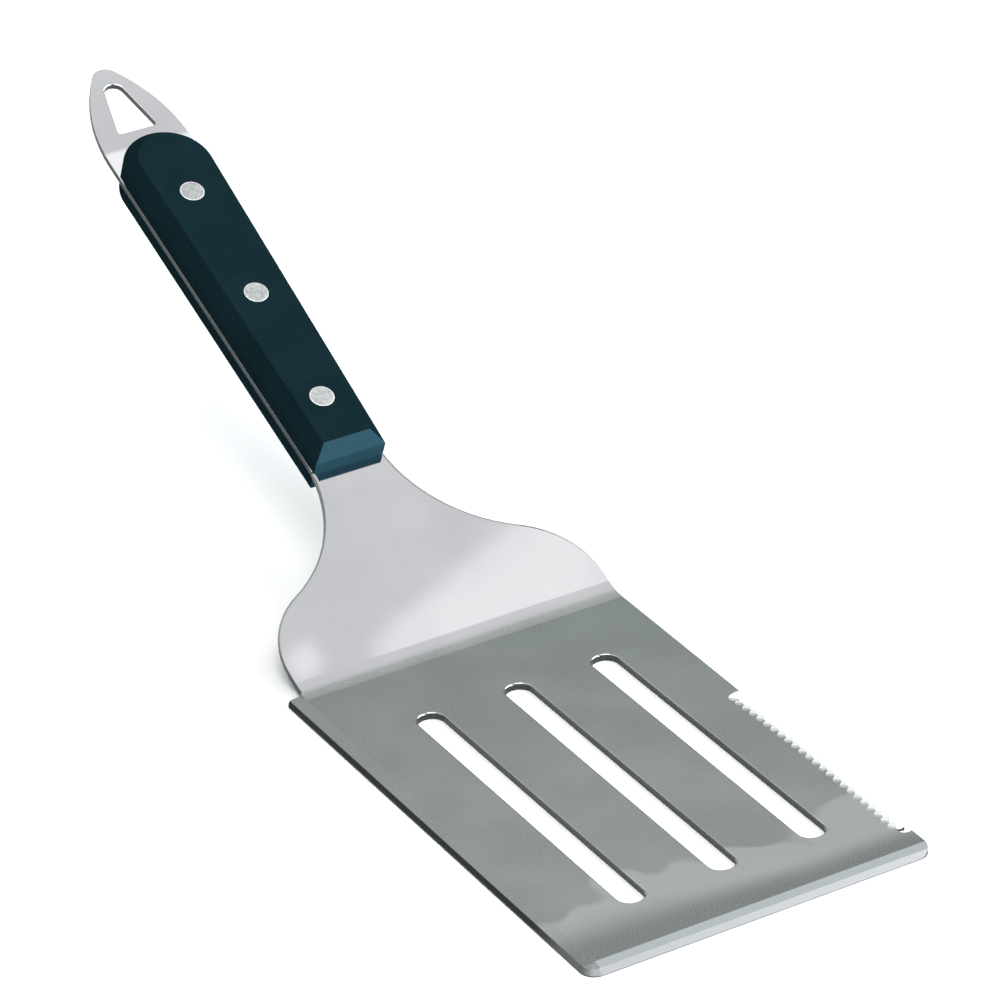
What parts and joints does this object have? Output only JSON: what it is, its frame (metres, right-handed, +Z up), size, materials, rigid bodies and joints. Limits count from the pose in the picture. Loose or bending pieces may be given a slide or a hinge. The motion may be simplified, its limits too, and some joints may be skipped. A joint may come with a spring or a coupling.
{
  "type": "grill spatula",
  "caption": "Slotted steel turning blade with a serrated side, ground front and side edges, a cranked neck and a full-tang handle with riveted dark scales and a hanging loop.",
  "frame": {"origin": "on the plane the blade's flat underside rests on, under the middle of the whole tool's length and width", "axes": "+Z up from the blade's underside, +Y along the blade and handle from the front edge towards the hanging loop, +X towards the serrated side"},
  "size_m": [0.109, 0.3807, 0.102],
  "materials": {
    "steel": "polished with a fine even grain, ground facets brighter",
    "handle_plastic": "moulded with a fine satin texture",
    "rivet_metal": "pressed and lightly polished"
  },
  "bodies": {
    "root": {"blade_and_tang": "steel", "upper_scale": "handle_plastic", "lower_scale": "handle_plastic", "rivet_cap_1": "rivet_metal", "rivet_post_1": "rivet_metal", "rivet_cap_2": "rivet_metal", "rivet_post_2": "rivet_metal", "rivet_cap_3": "rivet_metal", "rivet_post_3": "rivet_metal"}
  },
  "joints": []
}
